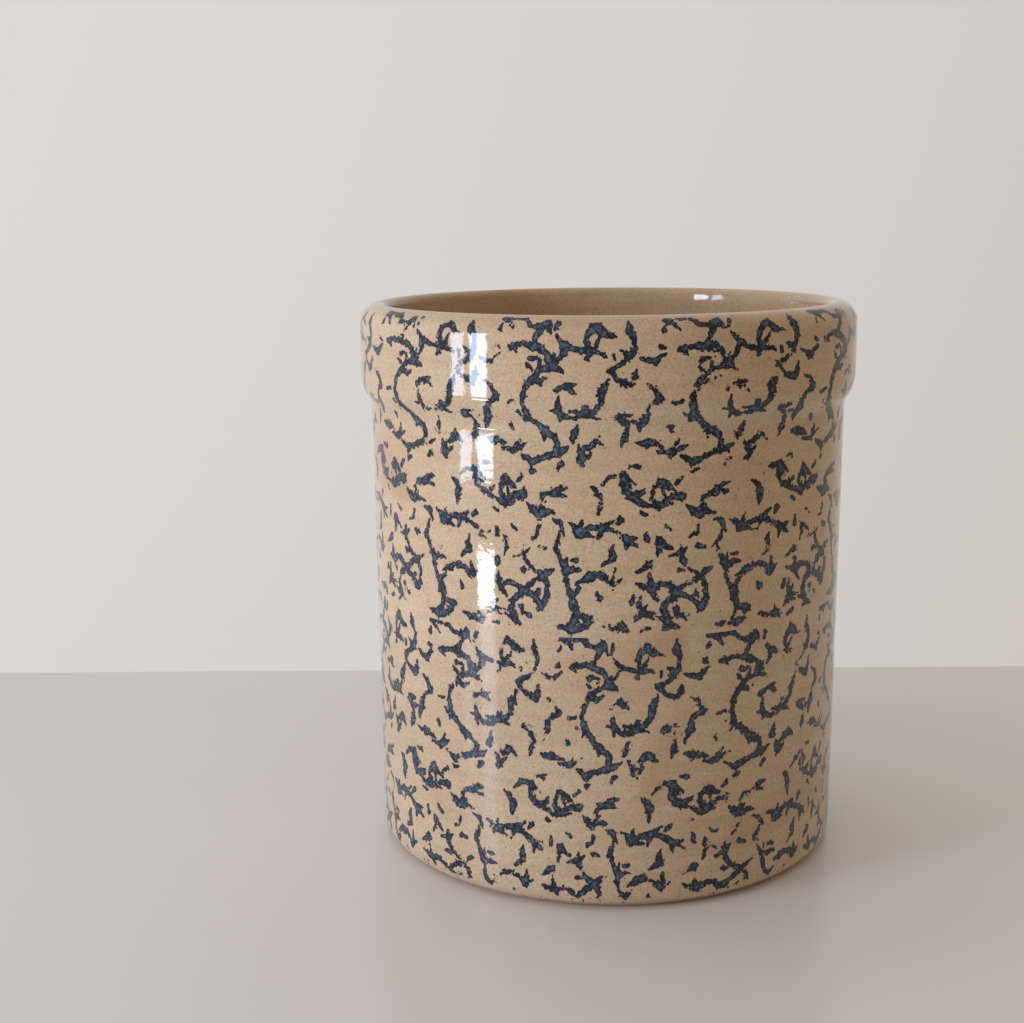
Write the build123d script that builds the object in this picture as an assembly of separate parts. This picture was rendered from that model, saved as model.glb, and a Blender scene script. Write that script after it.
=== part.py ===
from build123d import *

import os

# A one-gallon stoneware fermenting crock with its two half-moon weights.
#
# Millimetres, +Z up. The origin is the middle of the foot, on the surface that the crock stands on.
# The crock is one piece of fired clay in a coat of clear glaze. The two weights lie loose on its floor
# and lift straight out through the mouth by their finger holes.

# Outside of the glazed crock
crock_height = 199.5  # foot to the top of the lip
rim_diameter = 180.0  # over the collar
collar_projection = 3.6  # how far the collar stands out from the body, each side
collar_height = 29.0  # top of the lip to the corner where the collar turns in
collar_undercut = 6.2  # height of the sloped underside of the collar
body_taper = 1.1  # how much narrower the foot is than the body's top, each side

# Rounded edges, on the glazed surface
lip_outer_round = 7.1
lip_inner_round = 2.8
lip_crest_width = 0.1  # least flat left between the lip's two rounds
collar_corner_round = 13.5
collar_root_round = 7.2
foot_round = 7.0
floor_corner_round = 8.0

# Wall and floor, glaze included
wall_thickness = 6.4
floor_thickness = 9.4
bore_draft = 0.8  # how much narrower the bore is at the floor than at the lip, each side

# Glaze
glaze_thickness = 0.35
bare_foot_height = 2.0  # glaze is wiped off the foot up to here

# Half-moon weights
weight_thickness = 16.0
weight_seat_clearance = 1.0  # from the weight's flat underside to the edge of the flat floor
weight_split_gap = 4.0  # between the straight edges of the two weights
finger_hole_diameter = 22.0
finger_hole_land = 19.0  # from the straight edge to the rim of the finger hole
weight_corner_round = 9.0
weight_edge_round = 2.5

# Worked out from the sizes above
rim_radius = rim_diameter / 2
body_radius = rim_radius - collar_projection
foot_radius = body_radius - body_taper
mouth_radius = body_radius - wall_thickness
floor_radius = mouth_radius - bore_draft
collar_corner_z = crock_height - collar_height
collar_root_z = collar_corner_z - collar_undercut
lip_thickness = rim_radius - mouth_radius
flat_floor_radius = floor_radius - floor_corner_round
weight_radius = flat_floor_radius - weight_seat_clearance + weight_edge_round


def revolved(section):
    """Turns a half section, drawn as radius across and height up, once round the Z axis."""
    return revolve(Plane.XZ * section, axis=Axis.Z)


def glazed_section():
    """Half section inside the glazed surface, which runs on under the foot by the glaze's thickness."""
    widest_round = lip_thickness - lip_inner_round - lip_crest_width
    corners = [
        ((0, -glaze_thickness), 0),
        ((foot_radius, -glaze_thickness), foot_round),
        ((body_radius, collar_root_z), collar_root_round),
        ((rim_radius, collar_corner_z), collar_corner_round),
        ((rim_radius, crock_height), min(lip_outer_round, widest_round)),
        ((mouth_radius, crock_height), lip_inner_round),
        ((floor_radius, floor_thickness), floor_corner_round),
        ((0, floor_thickness), 0),
    ]
    points = [point for point, _ in corners]
    rounds = [radius for _, radius in corners]
    return make_face(FilletPolyline(*points, radius=rounds, close=True))


def clay_section():
    """Half section of the fired clay, one glaze thickness inside the glazed surface all round."""
    right_half = glazed_section()
    both_halves = right_half + mirror(right_half, Plane.YZ)
    inset = offset(both_halves, amount=-glaze_thickness, kind=Kind.INTERSECTION)
    right_side = Pos(rim_radius, 0) * Rectangle(2 * rim_radius, 4 * crock_height)
    return inset & right_side


def crock_body():
    """Floor, wall, collar, lip and foot, jiggered as one piece of clay."""
    return revolved(clay_section())


def glaze_coat(clay):
    """Skin of glaze over the outside, the lip and the inside, down to the bare foot."""
    wiped_band = Cylinder(2 * rim_radius, 2 * bare_foot_height)
    return revolved(glazed_section()) - clay - wiped_band


def half_moon_weight(side):
    """A half disc with a finger hole, lying on the floor at the given side of X, -1 or +1."""
    straight_edge = weight_split_gap / 2
    hole_radius = finger_hole_diameter / 2
    beyond_edge = Pos(straight_edge + weight_radius, 0) * Rectangle(2 * weight_radius, 2 * weight_radius)
    half_disc = Circle(weight_radius) & beyond_edge
    half_disc = fillet(half_disc.vertices(), weight_corner_round)
    finger_hole = Pos(straight_edge + finger_hole_land + hole_radius, 0) * Circle(hole_radius)
    slab = extrude(half_disc - finger_hole, weight_thickness)
    underside, *_, top = slab.faces().sort_by(Axis.Z)
    slab = fillet(underside.edges() + top.edges(), weight_edge_round)
    turn = 0 if side > 0 else 180
    return Pos(0, 0, floor_thickness) * Rot(0, 0, turn) * slab


def main():
    os.makedirs("parts", exist_ok=True)
    clay = crock_body()
    nodes = {
        "crock_body": clay,
        "glaze_coat": glaze_coat(clay),
        "weight_left": half_moon_weight(-1),
        "weight_right": half_moon_weight(1),
    }
    for name, shape in nodes.items():
        export_step(shape, f"parts/{name}.step")
        print(name, round(shape.volume), "mm3")


main()
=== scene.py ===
import math
import random

import bpy
from mathutils import Matrix, Vector


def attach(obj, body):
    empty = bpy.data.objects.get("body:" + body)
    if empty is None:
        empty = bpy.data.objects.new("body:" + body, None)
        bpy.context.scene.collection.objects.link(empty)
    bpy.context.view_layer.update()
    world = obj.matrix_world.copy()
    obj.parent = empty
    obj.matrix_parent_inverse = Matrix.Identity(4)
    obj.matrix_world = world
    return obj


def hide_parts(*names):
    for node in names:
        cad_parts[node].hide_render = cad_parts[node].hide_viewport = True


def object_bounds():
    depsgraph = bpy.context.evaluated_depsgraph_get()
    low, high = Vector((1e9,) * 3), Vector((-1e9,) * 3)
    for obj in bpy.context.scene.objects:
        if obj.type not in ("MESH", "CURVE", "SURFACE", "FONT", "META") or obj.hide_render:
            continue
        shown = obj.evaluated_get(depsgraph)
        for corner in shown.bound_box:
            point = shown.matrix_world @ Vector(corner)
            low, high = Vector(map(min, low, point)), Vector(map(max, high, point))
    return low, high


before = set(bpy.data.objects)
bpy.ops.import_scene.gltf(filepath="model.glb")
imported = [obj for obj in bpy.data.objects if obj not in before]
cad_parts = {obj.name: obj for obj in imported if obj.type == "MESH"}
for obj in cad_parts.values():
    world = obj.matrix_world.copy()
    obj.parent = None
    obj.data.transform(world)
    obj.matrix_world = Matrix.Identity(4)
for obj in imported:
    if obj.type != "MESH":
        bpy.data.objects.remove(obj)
cad_low, cad_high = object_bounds()


# The clay body of the crock.
# A buff stoneware pot, jiggered in a mould with its rolled collar and rounded foot,
# fired and left bare only under the foot, where it stood in the kiln.

MM = 0.001
CROCK_HEIGHT = cad_high.z
RIM_RADIUS = cad_high.x
BODY_RADIUS = RIM_RADIUS - 3.6 * MM
FOOT_RADIUS = RIM_RADIUS - 4.7 * MM
COLLAR_ROOT = CROCK_HEIGHT - 35.2 * MM
COLLAR_CORNER = CROCK_HEIGHT - 29.0 * MM
MOUTH_RADIUS = RIM_RADIUS - 10.0 * MM
FLOOR_RADIUS = MOUTH_RADIUS - 0.8 * MM
FLOOR_HEIGHT = 9.4 * MM
GLAZE = 0.35 * MM
GLAZE_LINE = 2.0 * MM
FOOT_ROUND = 7.0 * MM
COLLAR_ROOT_ROUND = 7.2 * MM
COLLAR_CORNER_ROUND = 13.5 * MM
LIP_OUTER_ROUND = 7.1 * MM
LIP_INNER_ROUND = 2.8 * MM
FLOOR_CORNER_ROUND = 8.0 * MM
SECTION = [(0.0, -GLAZE, 0), (FOOT_RADIUS, -GLAZE, FOOT_ROUND), (BODY_RADIUS, COLLAR_ROOT, COLLAR_ROOT_ROUND),
           (RIM_RADIUS, COLLAR_CORNER, COLLAR_CORNER_ROUND), (RIM_RADIUS, CROCK_HEIGHT, LIP_OUTER_ROUND),
           (MOUTH_RADIUS, CROCK_HEIGHT, LIP_INNER_ROUND), (FLOOR_RADIUS, FLOOR_HEIGHT, FLOOR_CORNER_ROUND),
           (0.0, FLOOR_HEIGHT, 0)]
TURN_STEPS = 384
# Where the soft foot was knocked: degrees round from the front, height, width and depth in millimetres.
FOOT_DENTS = [(-19, 1.5, 1.6, 0.5), (-13.5, 0.8, 2.4, 0.55), (-10.4, 1.0, 1.8, 0.45), (64, 1.2, 2.4, 0.4),
              (151, 1.0, 3.0, 0.5), (-118, 0.8, 2.2, 0.45)]


def rounded(corners, step, arc_step, inset=0.0):
    """Points along (radius, height, round) corners, with an arc at each, moved into the clay by inset."""
    here = [Vector(c[:2]) for c in corners]
    arcs = []
    for i, corner in enumerate(corners):
        if i in (0, len(corners) - 1):
            into = 1 if i == 0 else -1
            arcs.append([here[i] + Vector((0.0, inset * into))])
            continue
        back = (here[i - 1] - here[i]).normalized()
        on = (here[i + 1] - here[i]).normalized()
        half = back.angle(on) / 2
        centre = here[i] + (back + on).normalized() * (corner[2] / math.sin(half))
        juts_out = back.x * on.y - back.y * on.x < 0
        radius = corner[2] - inset if juts_out else corner[2] + inset
        first, last = (math.atan2(*(here[i] + way * corner[2] / math.tan(half) - centre).yx) for way in (back, on))
        turn = (last - first + math.pi) % (2 * math.pi) - math.pi
        count = max(3, round(abs(turn) * radius / arc_step))
        arcs.append([centre + Vector((math.cos(first + turn * k / count), math.sin(first + turn * k / count)))
                     * radius for k in range(count + 1)])
    line = [arcs[0][0]]
    for arc in arcs[1:]:
        start = line[-1]
        pieces = max(1, round((arc[0] - start).length / step))
        line += [start.lerp(arc[0], k / pieces) for k in range(1, pieces)] + arc
    return line


def unevenness(angle, height):
    """How far the wall lies inside its drawn circle: an oval mouth, faint jigger rings and soft dents at the foot."""
    depth = 0.16 * MM * (1 + math.cos(2 * angle + 0.9)) * height / CROCK_HEIGHT
    depth += 0.012 * MM * (1 + math.sin(height / (2.9 * MM) + 1.3 * math.sin(angle)))
    for at, up, wide, deep in FOOT_DENTS:
        turn = (angle - math.radians(at) + math.pi) % (2 * math.pi) - math.pi
        away = (turn * FOOT_RADIUS / (wide * MM)) ** 2 + ((height - up * MM) / (2.2 * MM)) ** 2
        depth += deep * MM * math.exp(-min(away, 50.0))
    return depth


def spun(name, line, map_name=None, place=None):
    """A solid of revolution from a line that starts and ends on the axis. place gives a face corner's map point."""
    points, faces, corners, rings = [], [], [], []
    for radius, height in line:
        rings.append([len(points)] * TURN_STEPS)
        if radius < 0.01 * MM:
            points.append((0.0, 0.0, height))
            continue
        rings[-1] = list(range(len(points), len(points) + TURN_STEPS))
        for k in range(TURN_STEPS):
            angle = 2 * math.pi * k / TURN_STEPS
            reach = radius - unevenness(angle, height) * min(1.0, radius / (60 * MM))
            points.append((reach * math.sin(angle), -reach * math.cos(angle), height))
    for i, (a, b) in enumerate(zip(rings, rings[1:])):
        for k in range(TURN_STEPS):
            n = (k + 1) % TURN_STEPS
            around = [(a[k], i, k), (a[n], i, k + 1), (b[n], i + 1, k + 1), (b[k], i + 1, k)]
            if a[k] == a[n]:
                around.pop(1)
            if b[k] == b[n]:
                around.pop(2)
            faces.append([corner[0] for corner in around])
            if place:
                corners += [place(i, ring, step) for _, ring, step in around]
    mesh = bpy.data.meshes.new(name)
    mesh.from_pydata(points, [], faces)
    if place:
        layer = mesh.uv_layers.new(name=map_name)
        layer.data.foreach_set("uv", [number for corner in corners for number in corner])
    mesh.shade_smooth()
    piece = bpy.data.objects.new(name, mesh)
    bpy.context.scene.collection.objects.link(piece)
    return piece


clay = spun("clay_body", rounded(SECTION, 9 * MM, 0.9 * MM, GLAZE))


def linear(code):
    """The linear colour of an sRGB hex code."""
    parts = [int(code[i:i + 2], 16) / 255 for i in (1, 3, 5)]
    return [c / 12.92 if c < 0.04045 else ((c + 0.055) / 1.055) ** 2.4 for c in parts] + [1.0]


def put(tree, kind, inputs=None, out=0, **settings):
    """Adds a node with its settings, links or sets its inputs, and gives back one of its outputs."""
    made = tree.nodes.new("ShaderNode" + kind)
    for name, value in settings.items():
        setattr(made, name, value)
    for socket, value in (inputs or {}).items():
        if isinstance(value, bpy.types.NodeSocket):
            tree.links.new(value, made.inputs[socket])
        else:
            made.inputs[socket].default_value = value
    return made.outputs[out]


def new_material(name):
    """A material, its tree and its shader."""
    material = bpy.data.materials.new(name)
    material.use_nodes = True
    return material, material.node_tree, material.node_tree.nodes["Principled BSDF"]


def bare_stoneware(name, light, dark, speck):
    """Unglazed fired clay: chalky, with a sandy tooth and dark iron specks up to half a millimetre across."""
    material, tree, shader = new_material(name)
    at = put(tree, "TexCoord", out="Object")
    mottle = put(tree, "TexNoise", {"Vector": at, "Scale": 1 / 0.014, "Detail": 5.0, "Roughness": 0.6})
    body = put(tree, "Mix", {0: mottle, 6: linear(light), 7: linear(dark)}, 2, data_type="RGBA")
    iron = put(tree, "TexVoronoi", {"Vector": at, "Scale": 1 / 0.0024})
    spot = put(tree, "MapRange", {0: iron, 1: 0.10, 2: 0.17, 3: 0.75, 4: 0.0})
    tint = put(tree, "Mix", {0: spot, 6: body, 7: linear(speck)}, 2, data_type="RGBA")
    sand = put(tree, "TexNoise", {"Vector": at, "Scale": 1 / 0.0011, "Detail": 3.0, "Roughness": 0.7})
    tooth = put(tree, "Bump", {"Height": sand, "Strength": 0.55, "Distance": 0.00025})
    tree.links.new(tint, shader.inputs["Base Color"])
    tree.links.new(tooth, shader.inputs["Normal"])
    shader.inputs["Roughness"].default_value = 0.82
    shader.inputs["IOR"].default_value = 1.5
    return material


clay.data.materials.append(bare_stoneware("bare fired stoneware", "#d3b691", "#b8946b", "#5b3d2a"))
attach(clay, "crock")
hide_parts("crock_body")


# The glaze and the sponge print under it.
# Cobalt marks are dabbed on the raw pot with a cut sponge in two rows, then the pot is
# dipped in clear glaze, all but the foot. One firing melts the glaze to a thin glossy skin.

# The stamp, in millimetres. Its zero line lies STAMP_TOP below its upper edge, and the first row starts
# PRINT_TOP below the crest of the lip.
STAMP_WIDE = 54.3
STAMP_TALL = 105.0
STAMP_TOP = 16.0
STAMP_EDGE = 1.5
PRINT_TOP = 2.6
STAMPS_ROUND = 10
STAMP_DRIFT = 4.5
# What the print map adds to the height down the stamp: for the second row, and where no print reaches.
ROW_KEY = 1000.0
NO_PRINT = -5000.0
# What the marks are spaced by, in millimetres.
SPONGE_SEED = 11
KNOT_GAP = 7.6
JOIN_REACH = 13.5
TICKS = 32
TICK_ROOM = 2.2
MARKS_TO_A_GROUP = 16

hand = random.Random(SPONGE_SEED)
ROWS = [[(k + 0.4 * row) * 360 / STAMPS_ROUND + hand.uniform(-STAMP_DRIFT, STAMP_DRIFT) for k in range(STAMPS_ROUND)]
        for row in range(2)]


def stamp_across(row, angle):
    """Millimetres of stamp round to an angle in degrees, from where the sponge was set down along a row."""
    centres = ROWS[row]

    def centre(i):
        return centres[i % len(centres)] + 360 * (i // len(centres))

    lap = math.floor((angle - centres[0]) / 360)
    turn = angle - 360 * lap
    k = max(i for i in range(len(centres)) if centres[i] <= turn)
    gap = centre(k + 1) - centre(k)
    lean_here = 2 * gap / (centre(k + 1) - centre(k - 1))
    lean_next = 2 * gap / (centre(k + 2) - centre(k))
    s = (turn - centre(k)) / gap
    eased = s * s * (3 - 2 * s) + s * (1 - s) ** 2 * lean_here - s * s * (1 - s) * lean_next
    return STAMP_WIDE * (len(centres) * lap + k + eased)


def above_glaze_line(line):
    """The part of a line from where it first climbs past the wiped glaze line."""
    return line[next(i for i, p in enumerate(line) if p.y > GLAZE_LINE):]


outer_line = above_glaze_line(rounded(SECTION, 4.5 * MM, 0.9 * MM))
inner_line = above_glaze_line(rounded(SECTION, 16.0 * MM, 2.0 * MM, GLAZE))
rolled_edge = outer_line[0].lerp(inner_line[0], 0.5) - Vector((0.0, 0.15 * MM))
skin_line = list(reversed(inner_line)) + [rolled_edge] + outer_line
crest = max(range(len(skin_line)), key=lambda i: (round(skin_line[i].y, 6), skin_line[i].x))
down = {crest: 0.0}
for ring in range(crest, len(inner_line) + 1, -1):
    down[ring - 1] = down[ring] + (skin_line[ring] - skin_line[ring - 1]).length / MM
across = [[stamp_across(row, 360 * k / TURN_STEPS) for k in range(TURN_STEPS + 1)] for row in range(len(ROWS))]


def on_the_stamp(band, ring, step):
    """A face corner's place on the stamp in millimetres, with a thousand added to the height for the second row."""
    if band not in down or band + 1 not in down or down[band + 1] < PRINT_TOP:
        return across[0][step], NO_PRINT
    row = int((down[band] + down[band + 1]) / 2 > PRINT_TOP + STAMP_TALL)
    drop = down[ring] - PRINT_TOP - STAMP_TOP - row * STAMP_TALL
    return across[row][step], drop + row * ROW_KEY


skin = spun("glaze_skin", skin_line, "print", on_the_stamp)


def shortest_way(x):
    """A distance across the stamp, taken the shorter way round from one stamp to the next."""
    return (x + STAMP_WIDE / 2) % STAMP_WIDE - STAMP_WIDE / 2


def clear_of(x, y, points, room):
    """Whether a point on the stamp has this much room to every other."""
    return all(math.hypot(shortest_way(x - p[0]), y - p[1]) > room for p in points)


def freehand_marks():
    """Marks as a potter cuts them freehand in a sponge's face, each a list of (across, down, half width).

    Fat knots a thumb's width apart are joined by bowed veins, some broken off short. Leaf-like spikes stand
    on the knots, and small ticks fill the bare places.
    """
    top, bottom = STAMP_EDGE - STAMP_TOP, STAMP_TALL - STAMP_TOP - STAMP_EDGE

    def anywhere():
        return hand.uniform(-STAMP_WIDE / 2, STAMP_WIDE / 2), hand.uniform(top, bottom)

    def spike(x, y, half, long, tip):
        turn = hand.uniform(0, 2 * math.pi)
        end = min(bottom, max(top, y + long * math.sin(turn)))
        return [(x, y, half), (x + long * math.cos(turn), end, tip)]

    knots, marks, joined = [], [], set()
    for _ in range(1500):
        x, y = anywhere()
        if clear_of(x, y, knots, KNOT_GAP):
            knots.append((x, y, hand.uniform(0.8, 1.4)))
    for i, (x, y, fat) in enumerate(knots):
        near = sorted((math.hypot(shortest_way(k[0] - x), k[1] - y), j)
                      for j, k in enumerate(knots) if j != i)
        for away, j in near[:2]:
            if away > JOIN_REACH or (j, i) in joined:
                continue
            joined.add((i, j))
            dx, dy = shortest_way(knots[j][0] - x), knots[j][1] - y
            bow = hand.uniform(-0.34, 0.34)
            reach = hand.choice((1.0, 1.0, 0.62, 0.5))
            vein = []
            for along in (0.0, 0.34, 0.68, 1.0) if reach == 1.0 else (0.0, 0.5, 1.0):
                t = along * reach
                side = 4 * bow * t * (1 - t)
                half = (fat + (knots[j][2] - fat) * t) * (1 - 0.42 * math.sin(math.pi * t))
                if along == 1.0 and reach < 1.0:
                    half = 0.2
                vein.append((x + dx * t - dy * side, min(bottom, max(top, y + dy * t + dx * side)), half))
            marks.append(vein)
        for _ in range(hand.choice((0, 1, 1, 2, 3))):
            marks.append(spike(x, y, 0.9 * fat, hand.uniform(2.6, 5.2), 0.2))
    spots = [point for mark in marks for point in mark]
    ticks = []
    for _ in range(2500):
        x, y = anywhere()
        if len(ticks) < TICKS and clear_of(x, y, spots, TICK_ROOM):
            ticks.append(spike(x, y, hand.uniform(0.4, 0.8), hand.uniform(1.0, 2.8), 0.35))
            spots += ticks[-1]
    return marks + ticks


def stretches(strokes):
    """Every straight stretch of some marks, and again one stamp over where it reaches past the stamp's side."""
    for stroke in strokes:
        for (ax, ay, aw), (bx, by, bw) in zip(stroke, stroke[1:]):
            for over in (-STAMP_WIDE, 0.0, STAMP_WIDE):
                left, right = min(ax, bx) + over, max(ax, bx) + over
                if left < STAMP_WIDE / 2 + 2.5 and right > -STAMP_WIDE / 2 - 2.5:
                    yield (ax + over, ay, aw), (bx + over, by, bw)


def cut_marks(name, strokes):
    """A node group that gives, for a point across and down the stamp, the distance to the nearest of these marks.

    Three stretches are worked out at once, one in each part of a vector. The distance is twice the real one near
    a mark's edge, and less than nothing inside the mark.
    """
    tree = bpy.data.node_groups.new(name, "ShaderNodeTree")
    for socket in ("Across", "Down", "Nearest"):
        tree.interface.new_socket(socket, in_out="INPUT", socket_type="NodeSocketVector")
    tree.interface.new_socket("Nearest", in_out="OUTPUT", socket_type="NodeSocketVector")
    across_at, down_at, nearest = tree.nodes.new("NodeGroupInput").outputs[:3]
    cut = list(stretches(strokes))
    cut += [cut[-1]] * (-len(cut) % 3)
    for three in zip(cut[::3], cut[1::3], cut[2::3]):
        ax, ay, aw = (Vector(a[i] for a, b in three) for i in range(3))
        dx, dy, dw = (Vector(b[i] - a[i] for a, b in three) for i in range(3))
        long = Vector(x * x + y * y for x, y in zip(dx, dy))
        step_x, step_y = (Vector(d / n for d, n in zip(way, long)) for way in (dx, dy))
        begin = Vector(-x * u - y * v for x, y, u, v in zip(ax, ay, step_x, step_y))
        share = put(tree, "VectorMath", {0: down_at, 1: step_y, 2: begin}, operation="MULTIPLY_ADD")
        share = put(tree, "VectorMath", {0: across_at, 1: step_x, 2: share}, operation="MULTIPLY_ADD")
        share = put(tree, "VectorMath", {0: share, 1: (1, 1, 1)}, operation="MINIMUM")
        share = put(tree, "VectorMath", {0: share}, operation="MAXIMUM")
        off_x = put(tree, "VectorMath", {0: share, 1: -dx, 2: -ax}, operation="MULTIPLY_ADD")
        off_x = put(tree, "VectorMath", {0: off_x, 1: across_at}, operation="ADD")
        square = put(tree, "VectorMath", {0: off_x, 1: off_x}, operation="MULTIPLY")
        off_y = put(tree, "VectorMath", {0: share, 1: -dy, 2: -ay}, operation="MULTIPLY_ADD")
        off_y = put(tree, "VectorMath", {0: off_y, 1: down_at}, operation="ADD")
        square = put(tree, "VectorMath", {0: off_y, 1: off_y, 2: square}, operation="MULTIPLY_ADD")
        half = put(tree, "VectorMath", {0: share, 1: dw, 2: aw}, operation="MULTIPLY_ADD")
        edge = put(tree, "VectorMath", {0: square, 1: half}, operation="DIVIDE")
        edge = put(tree, "VectorMath", {0: edge, 1: half}, operation="SUBTRACT")
        nearest = put(tree, "VectorMath", {0: nearest, 1: edge}, operation="MINIMUM")
    tree.links.new(nearest, tree.nodes.new("NodeGroupOutput").inputs[0])
    return tree


def glazed_print():
    """Clear glaze, glossy and slightly rippled like orange peel, over buff clay with cobalt marks sunk in it."""
    material, tree, shader = new_material("clear glaze over cobalt sponge print")
    at = put(tree, "TexCoord", out="Object")
    place = put(tree, "UVMap", uv_map="print")
    across_in = put(tree, "SeparateXYZ", {0: place}, "X")
    down_in = put(tree, "SeparateXYZ", {0: place}, "Y")
    column = put(tree, "Math", {0: across_in, 1: STAMP_WIDE}, operation="DIVIDE")
    column = put(tree, "Math", {0: column}, operation="ROUND")
    over = put(tree, "Math", {0: column, 1: -STAMP_WIDE, 2: across_in}, operation="MULTIPLY_ADD")
    row = put(tree, "Math", {0: down_in, 1: ROW_KEY}, operation="DIVIDE")
    row = put(tree, "Math", {0: put(tree, "Math", {0: row}, operation="ROUND"), 1: 0.0}, operation="MAXIMUM")
    fall = put(tree, "Math", {0: row, 1: -ROW_KEY, 2: down_in}, operation="MULTIPLY_ADD")
    point = put(tree, "CombineXYZ", {0: over, 1: fall})
    for size, amount in ((0.016, 2.6), (0.0026, 1.5)):
        noise = put(tree, "TexNoise", {"Vector": at, "Scale": 1 / size, "Detail": 1.0}, "Color")
        push = put(tree, "VectorMath", {0: noise, 1: (0.5, 0.5, 0.5)}, operation="SUBTRACT")
        push = put(tree, "VectorMath", {0: push, 1: (amount, amount, 0.0)}, operation="MULTIPLY")
        point = put(tree, "VectorMath", {0: point, 1: push}, operation="ADD")
    over = put(tree, "SeparateXYZ", {0: point}, "X")
    fall = put(tree, "SeparateXYZ", {0: point}, "Y")
    over = put(tree, "CombineXYZ", {0: over, 1: over, 2: over})
    fall = put(tree, "CombineXYZ", {0: fall, 1: fall, 2: fall})
    nearest = (100.0, 100.0, 100.0)
    cut = freehand_marks()
    for first in range(0, len(cut), MARKS_TO_A_GROUP):
        marks = tree.nodes.new("ShaderNodeGroup")
        marks.node_tree = cut_marks(f"sponge marks {first}", cut[first:first + MARKS_TO_A_GROUP])
        tree.links.new(over, marks.inputs[0])
        tree.links.new(fall, marks.inputs[1])
        if first == 0:
            marks.inputs[2].default_value = nearest
        else:
            tree.links.new(nearest, marks.inputs[2])
        nearest = marks.outputs[0]
    edges = [put(tree, "SeparateXYZ", {0: nearest}, way) for way in "XYZ"]
    edge = put(tree, "Math", {0: edges[0], 1: edges[1]}, operation="MINIMUM")
    edge = put(tree, "Math", {0: edge, 1: edges[2]}, operation="MINIMUM")
    edge = put(tree, "Math", {0: edge, 1: 0.5}, operation="MULTIPLY")

    ragged = put(tree, "TexNoise", {"Vector": at, "Scale": 1 / 0.0011, "Detail": 2.0, "Roughness": 0.6})
    ragged = put(tree, "MapRange", {0: ragged, 1: 0.0, 2: 1.0, 3: -0.85, 4: 0.85})
    patchy = put(tree, "TexNoise", {"Vector": at, "Scale": 1 / 0.0065, "Detail": 2.0})
    worn = put(tree, "MapRange", {0: patchy, 1: 0.52, 2: 0.72, 3: 0.0, 4: 1.1})
    press = put(tree, "TexWhiteNoise", {"Vector": put(tree, "CombineXYZ", {0: column, 1: row})})
    press = put(tree, "MapRange", {0: press, 1: 0.0, 2: 1.0, 3: -0.58, 4: -0.24})
    crumb = put(tree, "TexVoronoi", {"Vector": at, "Scale": 1 / 0.0017})
    crumb = put(tree, "MapRange", {0: crumb, 1: 0.10, 2: 0.45, 3: -1.15, 4: 0.0})
    pore = put(tree, "TexVoronoi", {"Vector": at, "Scale": 1 / 0.00125})
    pore = put(tree, "MapRange", {0: pore, 1: 0.10, 2: 0.30, 3: 0.62, 4: 0.0})
    foot = put(tree, "MapRange", {0: put(tree, "SeparateXYZ", {0: at}, "Z"), 1: 0.0030, 2: 0.0062, 3: 1.6, 4: 0.0})
    for change in (ragged, worn, press, crumb, pore, foot):
        edge = put(tree, "Math", {0: edge, 1: change}, operation="ADD")

    ink = put(tree, "MapRange", {0: edge, 1: 0.16, 2: -0.12}, interpolation_type="SMOOTHSTEP")
    halo = put(tree, "MapRange", {0: edge, 1: 0.55, 2: 0.0, 3: 0.0, 4: 0.20})
    ink = put(tree, "Math", {0: ink, 1: halo}, operation="MAXIMUM")

    tide = put(tree, "TexNoise", {"Vector": at, "Scale": 1 / 0.045, "Detail": 3.0})
    body = put(tree, "Mix", {0: tide, 6: linear("#dfc7a8"), 7: linear("#d1b18d")}, 2, data_type="RGBA")
    flash = put(tree, "TexNoise", {"Vector": at, "Scale": 1 / 0.055, "Detail": 2.0, "Distortion": 0.6})
    flash = put(tree, "MapRange", {0: flash, 1: 0.56, 2: 0.72, 3: 0.0, 4: 0.55}, interpolation_type="SMOOTHSTEP")
    body = put(tree, "Mix", {0: flash, 6: body, 7: linear("#bd9468")}, 2, data_type="RGBA")
    turned = put(tree, "VectorMath", {0: at, 1: (1.0, 1.0, 9.0)}, operation="MULTIPLY")
    streak = put(tree, "TexNoise", {"Vector": turned, "Scale": 1 / 0.030, "Detail": 4.0, "Roughness": 0.6})
    streak = put(tree, "MapRange", {0: streak, 1: 0.40, 2: 0.70, 3: 0.0, 4: 0.30})
    body = put(tree, "Mix", {0: streak, 6: body, 7: linear("#b08f6c")}, 2, data_type="RGBA")
    grain = put(tree, "TexNoise", {"Vector": at, "Scale": 1 / 0.0007, "Detail": 3.0, "Roughness": 0.7})
    grain = put(tree, "MapRange", {0: grain, 1: 0.42, 2: 0.72, 3: 0.0, 4: 0.75})
    body = put(tree, "Mix", {0: grain, 6: body, 7: linear("#a5866a")}, 2, data_type="RGBA")
    iron = put(tree, "TexVoronoi", {"Vector": at, "Scale": 1 / 0.0042})
    iron = put(tree, "MapRange", {0: iron, 1: 0.045, 2: 0.085, 3: 0.8, 4: 0.0})
    body = put(tree, "Mix", {0: iron, 6: body, 7: linear("#5f4430")}, 2, data_type="RGBA")

    wash = put(tree, "TexNoise", {"Vector": at, "Scale": 1 / 0.0013, "Detail": 3.0, "Roughness": 0.65})
    thin = put(tree, "MapRange", {0: wash, 1: 0.36, 2: 0.62})
    middle = put(tree, "MapRange", {0: edge, 1: -0.60, 2: -1.05})
    thin = put(tree, "Math", {0: thin, 1: middle}, operation="MULTIPLY")
    cobalt = put(tree, "Mix", {0: thin, 6: linear("#111c30"), 7: linear("#5d6e7b")}, 2, data_type="RGBA")
    colour = put(tree, "Mix", {0: ink, 6: body, 7: cobalt}, 2, data_type="RGBA")
    tree.links.new(colour, shader.inputs["Base Color"])

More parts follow.
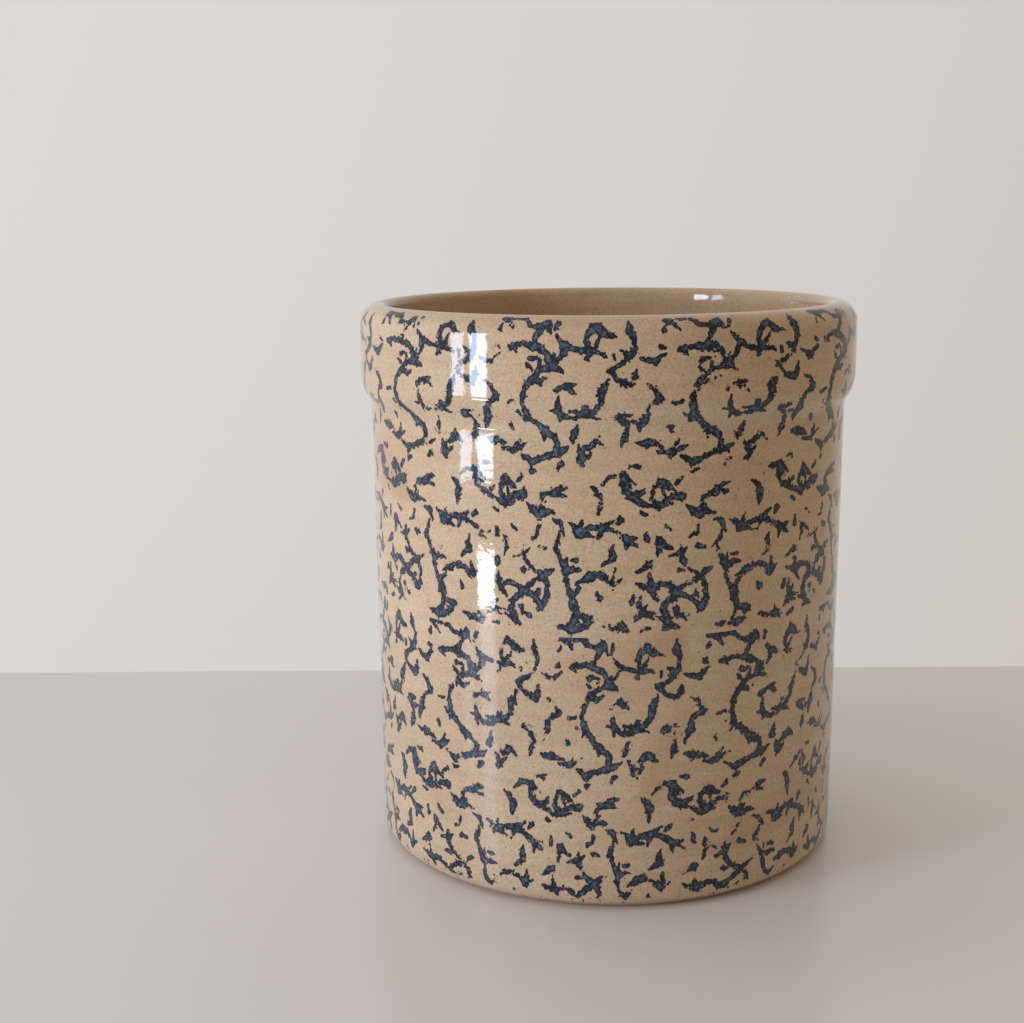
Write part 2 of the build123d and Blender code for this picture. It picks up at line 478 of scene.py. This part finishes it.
    peel = put(tree, "TexNoise", {"Vector": at, "Scale": 1 / 0.0034, "Detail": 2.0})
    ripple = put(tree, "Bump", {"Height": peel, "Strength": 0.5, "Distance": 0.00006})
    tree.links.new(ripple, shader.inputs["Normal"])
    shader.inputs["Roughness"].default_value = 0.055
    shader.inputs["IOR"].default_value = 1.5
    return material


skin.data.materials.append(glazed_print())
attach(skin, "crock")
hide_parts("glaze_coat")


# The two half-moon weights.
# Cut from a slab of the same clay and fired bare, each with a finger hole; they lie on the
# crock's floor when it is empty and keep the food under the brine when it is full.

weight_clay = bare_stoneware("bare slab stoneware", "#cfb08a", "#b28d64", "#54382a")
for name in ("weight_left", "weight_right"):
    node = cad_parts[name]
    node.data.materials.clear()
    node.data.materials.append(weight_clay)


# The stage: a pale table top with its back edge behind the crock, and pale air beyond.

TABLE_BACK = 0.193
TABLE_FRONT = -0.50
TABLE_LEFT = -0.36
TABLE_RIGHT = 0.60
TABLE_THICK = 0.03
TABLE_TURN = math.radians(2.96)
LIGHT_DISTANCE = 1.15


def table_top():
    """A plain slab with softly rounded edges."""
    mesh = bpy.data.meshes.new("table_top")
    sides = ((TABLE_LEFT, TABLE_FRONT), (TABLE_RIGHT, TABLE_FRONT), (TABLE_RIGHT, TABLE_BACK), (TABLE_LEFT, TABLE_BACK))
    corners = [(x, y, z) for z in (-TABLE_THICK, 0.0) for x, y in sides]
    mesh.from_pydata(corners, [], [(3, 2, 1, 0), (4, 5, 6, 7), (0, 1, 5, 4), (1, 2, 6, 5), (2, 3, 7, 6), (3, 0, 4, 7)])
    top = bpy.data.objects.new("table_top", mesh)
    top.rotation_euler.z = TABLE_TURN
    bpy.context.scene.collection.objects.link(top)
    soften = top.modifiers.new("edge", "BEVEL")
    soften.width, soften.segments = 0.002, 3
    return top


table = table_top()
material, tree, shader = new_material("honed pale stone")
at = put(tree, "TexCoord", out="Object")
cloud = put(tree, "TexNoise", {"Vector": at, "Scale": 1 / 0.16, "Detail": 4.0})
pale = put(tree, "Mix", {0: cloud, 6: linear("#ecebec"), 7: linear("#e3e2df")}, 2, data_type="RGBA")
tree.links.new(pale, shader.inputs["Base Color"])
shader.inputs["Roughness"].default_value = 0.24
table.data.materials.append(material)

world = bpy.data.worlds.new("pale room")
bpy.context.scene.world = world
world.use_nodes = True
room = world.node_tree
toward = put(room, "TexCoord", out="Generated")
dim = put(room, "VectorMath", {0: toward, 1: (0.80, -0.60, -0.30)}, "Value", operation="DOT_PRODUCT")
dim = put(room, "MapRange", {0: dim, 1: -0.85, 2: 1.0})
shades = room.nodes.new("ShaderNodeValToRGB")
room.links.new(dim, shades.inputs[0])
for place, code in ((0.0, "#ddd9d8"), (0.265, "#cecac7"), (0.46, "#c8bfb3"), (0.73, "#a09484"), (1.0, "#8c7f6f")):
    stops = shades.color_ramp.elements
    stop = stops.new(place) if 0 < place < 1 else stops[-int(place)]
    stop.color = linear(code)
room.links.new(shades.outputs[0], room.nodes["Background"].inputs[0])


def soft_box(name, azimuth, height, wide, tall, radiance, tint):
    """A rectangular light of even brightness that stands upright and faces the crock's axis."""
    lamp = bpy.data.lights.new(name, "AREA")
    lamp.shape, lamp.size, lamp.size_y = "RECTANGLE", wide, tall
    lamp.energy = radiance * math.pi * wide * tall
    lamp.color = linear(tint)[:3]
    box = bpy.data.objects.new(name, lamp)
    turn = math.radians(azimuth)
    box.location = (LIGHT_DISTANCE * math.sin(turn), -LIGHT_DISTANCE * math.cos(turn), height)
    facing = Vector((0, 0, height)) - box.location
    box.rotation_euler = facing.to_track_quat("-Z", "Y").to_euler()
    bpy.context.scene.collection.objects.link(box)
    return box


soft_box("window_left", -66.8, 0.225, 0.13, 0.55, 11.0, "#d6e4ff")
soft_box("window_right", -56.3, 0.225, 0.17, 0.55, 19.0, "#d6e4ff")
soft_box("window_sill", -56.8, -0.165, 0.18, 0.06, 26.0, "#f2f6ff")


# The camera stands a little above the rim and looks slightly left of the crock.

CAMERA_BACK = 0.5677
CAMERA_HEIGHT = 0.2337
CAMERA_YAW, CAMERA_PITCH, CAMERA_ROLL = -3.547, 11.27, -0.539

camera_data = bpy.data.cameras.new("camera")
camera_data.sensor_width = 36.0
camera_data.lens = 54.1
camera = bpy.data.objects.new("camera", camera_data)
yaw, pitch, roll = (math.radians(a) for a in (CAMERA_YAW, CAMERA_PITCH, CAMERA_ROLL))
look = Vector((math.sin(yaw) * math.cos(pitch), math.cos(yaw) * math.cos(pitch), -math.sin(pitch)))
right = Vector((math.cos(yaw), -math.sin(yaw), 0.0))
up = right.cross(look)
turned_right = right * math.cos(roll) + up * math.sin(roll)
turned_up = up * math.cos(roll) - right * math.sin(roll)
camera.matrix_world = Matrix((
    (turned_right.x, turned_up.x, -look.x, 0.0), (turned_right.y, turned_up.y, -look.y, -CAMERA_BACK),
    (turned_right.z, turned_up.z, -look.z, CAMERA_HEIGHT), (0.0, 0.0, 0.0, 1.0)))
bpy.context.scene.collection.objects.link(camera)
bpy.context.scene.camera = camera
bpy.context.scene.view_settings.view_transform = "Standard"
